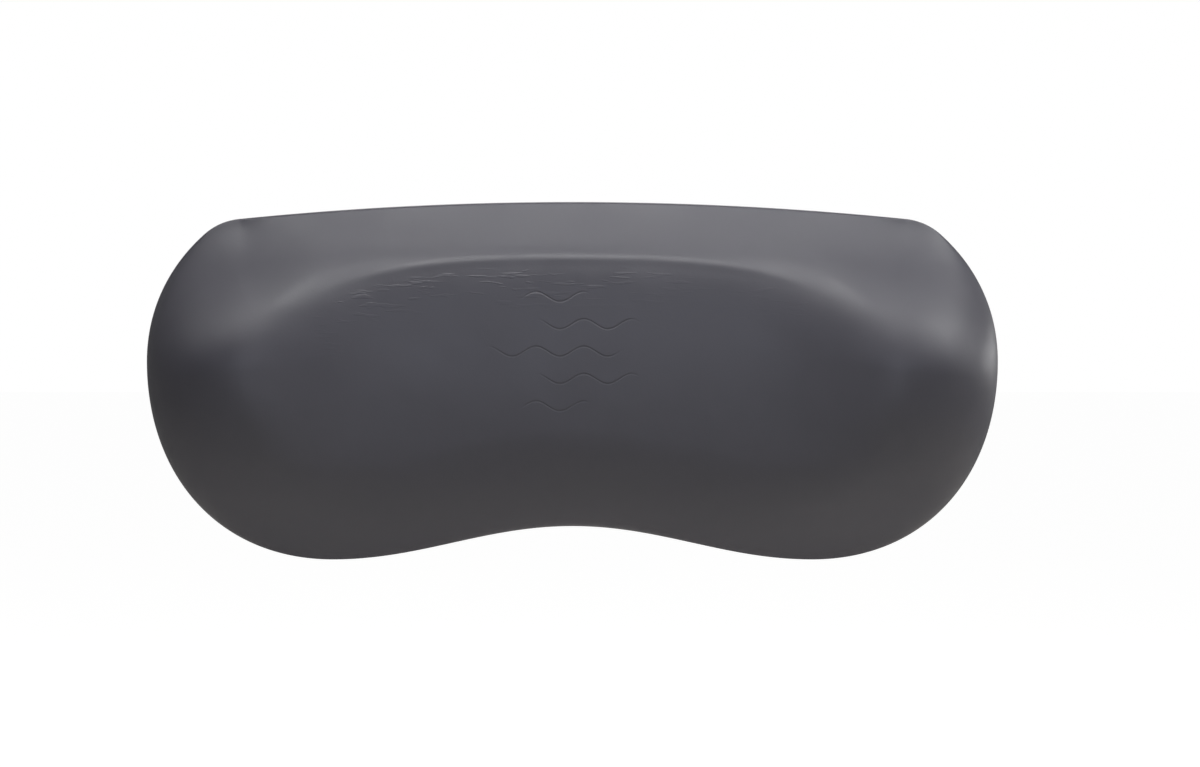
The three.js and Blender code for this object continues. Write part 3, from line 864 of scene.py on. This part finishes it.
class BATHPILLOW_OT_sockets(bpy.types.Operator):
    """Turns the snap-in sockets"""
    bl_idname = "bath_pillow.sockets"
    bl_label = "Turn the sockets"

    def execute(self, context):
        back, cups = context.scene.pillow_back, context.scene.pillow_cups
        lip = cups.neck_radius + back.clearance
        chamber = cups.head_radius + back.clearance
        barrel = chamber + cups.socket_wall
        flange = (SOCKET_HIGH.x - SOCKET_LOW.x) / 2
        face, end = -SOCKET_HIGH.y, -SOCKET_LOW.y
        room = face + cups.socket_lip
        bead = back.plate_inner + back.clearance
        edge = 0.4 * MM
        snap = 0.9 * MM
        seat = face + cups.flange_thickness
        bottom = end - cups.socket_wall
        profile = [
            (lip, room), (lip, face + edge), (lip + edge, face), (flange - edge, face),
            (flange, face + edge), (flange, seat), (barrel, seat), (barrel, bead),
            (barrel + snap + back.clearance, bead), (barrel, bead + 2 * snap), (barrel, end - edge),
            (barrel - edge, end), (0, end), (0, bottom), (chamber, bottom), (chamber, room), (lip, room),
        ]
        material = polished_polypropylene(context.scene.pillow_finishes.socket)
        for place in PLACES:
            mesh = lofted_mesh("socket", turned_rings(profile, socket_centre(place), 96))
            piece = new_piece(f"socket_{place}", mesh, material, "cushion", f"cup_socket_{place}")
            mesh.set_sharp_from_angle(angle=math.radians(50))
        return {"FINISHED"}


class BATHPILLOW_OT_cups(bpy.types.Operator):
    """Moulds the suction cups with their pull tabs"""
    bl_idname = "bath_pillow.cups"
    bl_label = "Mould the suction cups"

    def execute(self, context):
        back, cups = context.scene.pillow_back, context.scene.pillow_cups
        material = soft_pvc(context.scene.pillow_finishes.cup)
        profile, tab = self.profile(back, cups), self.tab(cups)
        for place in PLACES:
            mesh = lofted_mesh("cup", turned_rings(profile, socket_centre(place), 240, tab))
            piece = new_piece(f"cup_{place}", mesh, material, f"cup_{place}", f"suction_cup_{place}")
            piece.data.set_sharp_from_angle(angle=math.radians(50))
        return {"FINISHED"}

    def tab(self, cups):
        """How far the tab stands out at each angle: a rounded tongue that points down."""
        spread = math.asin(cups.tab_width / 2 / cups.bell_radius)

        def reach(angles):
            off = np.abs(angles - 1.5 * math.pi) / spread
            return cups.tab_length * np.sqrt(np.maximum(1 - off ** 5, 0))

        return reach

    def profile(self, back, cups):
        """Rows of the cup from under the dome, round the rim and tab, over the dome and up to the head."""
        bell, boss, neck, head = cups.bell_radius, cups.boss_radius, cups.neck_radius, cups.head_radius
        inner, wall = bell - cups.rim_land, cups.rim_thickness / 2
        edge = 0.3 * MM
        boss_end = -SOCKET_HIGH.y - back.clearance
        head_start = -SOCKET_HIGH.y + cups.socket_lip + back.clearance
        head_end = head_start + cups.head_height
        rows = [(inner * t, cups.bell_hollow * (1 - t * t)) for t in np.linspace(0, 1, 20)]
        rows += [(bell - edge, 0), (bell, edge), (bell, wall)]
        tab_end = wall + cups.tab_thickness
        rows += [(bell - edge, wall, 1), (bell, wall + edge, 1)]
        rows += [(bell, tab_end - edge, 1), (bell - edge, tab_end, 1)]
        wide, rise = bell - edge - boss, cups.bell_height - tab_end
        rows += [(boss + wide * t, tab_end + rise * (1 - t * t)) for t in np.linspace(1, 0, 20)]
        rows += [(boss, boss_end - edge), (boss - edge, boss_end), (neck, boss_end), (neck, head_start)]
        # the head's side is straight for about a third of its height, then leans in to a blunt tip
        straight, shoulder, tip = 0.35, 0.6, 0.5
        rows += [(head - edge, head_start), (head, head_start + edge)]
        rows += [(head, head_start + straight * cups.head_height), (shoulder * head, head_end - edge)]
        rows += [(tip * head, head_end), (0, head_end)]
        return rows


# Stage


class BATHPILLOW_OT_stage(bpy.types.Operator):
    """Sets the floor, the lamps and the camera"""
    bl_idname = "bath_pillow.stage"
    bl_label = "Set the stage"

    def execute(self, context):
        scene = context.scene
        scene.view_settings.view_transform = "Standard"
        self.paper(scene)
        self.surroundings(scene)
        for values in SOFTBOXES:
            self.softbox(scene, *values)
        self.camera(scene)
        return {"FINISHED"}

    def paper(self, scene):
        """A wide floor of white paper below the pillow."""
        mesh = bpy.data.meshes.new("paper")
        half = scene.pillow_stage.floor_half
        level = SKIN_LOW.z - scene.pillow_stage.floor_drop
        corners = [(-half, -half, level), (half, -half, level), (half, half, level), (-half, half, level)]
        mesh.from_pydata(corners, [], [(0, 1, 2, 3)])
        mesh.materials.append(studio_paper(scene.pillow_finishes.paper, scene.pillow_stage.mirrored))
        paper = bpy.data.objects.new("paper", mesh)
        scene.collection.objects.link(paper)

    def surroundings(self, scene):
        """A white room that lights nothing by itself."""
        scene.world = bpy.data.worlds.new("studio")
        scene.world.use_nodes = True
        tree = scene.world.node_tree
        tree.nodes.clear()
        white = shown_white(tree, scene.pillow_stage.mirrored)
        shine = add_node(tree, "Background", {"Color": (1, 1, 1, 1), "Strength": white})
        add_node(tree, "OutputWorld", {"Surface": shine.outputs[0]})

    def softbox(self, scene, name, azimuth, elevation, distance, size, aim, level, tint="#FFFFFF"):
        """A softbox seen from the pillow at these angles, that lights a face turned to it to this level."""
        light = bpy.data.lights.new(name, "AREA")
        light.shape = "RECTANGLE"
        light.size, light.size_y = size
        light.energy = level * math.pi * distance ** 2
        light.color = linear(tint)[:3]
        lamp = bpy.data.objects.new(name, light)
        way = self.way(azimuth, elevation)
        lamp.location = Vector((aim, SKIN_LOW.y / 2, 0)) + way * distance
        lamp.rotation_euler = way.to_track_quat("Z", "Y").to_euler()
        scene.collection.objects.link(lamp)

    def way(self, azimuth, elevation):
        """Direction from the pillow, with azimuth 0 in front of it and growing to the right."""
        turn, lift = math.radians(azimuth), math.radians(elevation)
        return Vector((math.sin(turn) * math.cos(lift), -math.cos(turn) * math.cos(lift), math.sin(lift)))

    def camera(self, scene):
        """A long lens, nearly straight on."""
        stage = scene.pillow_stage
        lens = bpy.data.cameras.new("camera")
        lens.lens, lens.sensor_width = 100, 36
        picture = stage.picture_width * (SKIN_HIGH.x - SKIN_LOW.x)
        distance = picture * lens.lens / lens.sensor_width
        back = self.way(0, math.degrees(stage.camera_lift))
        aim = Vector((stage.aim_right, -stage.aim_depth, -stage.aim_drop))
        camera = bpy.data.objects.new("camera", lens)
        camera.location = aim + back * distance
        camera.rotation_euler = (-back).to_track_quat("-Z", "Y").to_euler()
        scene.collection.objects.link(camera)
        scene.camera = camera


class BATHPILLOW_PT_panel(bpy.types.Panel):
    """Lists the steps and the sizes"""
    bl_idname = "BATHPILLOW_PT_panel"
    bl_label = "Bath pillow"
    bl_space_type = "VIEW_3D"
    bl_region_type = "UI"
    bl_category = "Bath pillow"

    def draw(self, context):
        for step in STEPS:
            self.layout.operator(step.bl_idname)
        for group in GROUPS:
            box = self.layout.box()
            values = getattr(context.scene, group)
            for name in values.bl_rna.properties.keys():
                if name not in ("rna_type", "name"):
                    box.prop(values, name)


STEPS = (
    BATHPILLOW_OT_skin,
    BATHPILLOW_OT_foam,
    BATHPILLOW_OT_plate,
    BATHPILLOW_OT_sockets,
    BATHPILLOW_OT_cups,
    BATHPILLOW_OT_stage,
)
GROUPS = {
    "pillow_cushion": CushionSizes,
    "pillow_back": BackSizes,
    "pillow_cups": CupSizes,
    "pillow_design": DesignSizes,
    "pillow_stage": StageSizes,
    "pillow_finishes": Finishes,
}


def register():
    for kind in (*GROUPS.values(), *STEPS, BATHPILLOW_PT_panel):
        bpy.utils.register_class(kind)
    for name, group in GROUPS.items():
        setattr(bpy.types.Scene, name, PointerProperty(type=group))


def unregister():
    for name in GROUPS:
        delattr(bpy.types.Scene, name)
    for kind in (BATHPILLOW_PT_panel, *reversed(STEPS), *reversed(GROUPS.values())):
        bpy.utils.unregister_class(kind)


def main():
    register()
    bpy.ops.bath_pillow.skin()
    bpy.ops.bath_pillow.foam()
    bpy.ops.bath_pillow.plate()
    bpy.ops.bath_pillow.sockets()
    bpy.ops.bath_pillow.cups()
    bpy.ops.bath_pillow.stage()


if __name__ == "__main__":
    main()
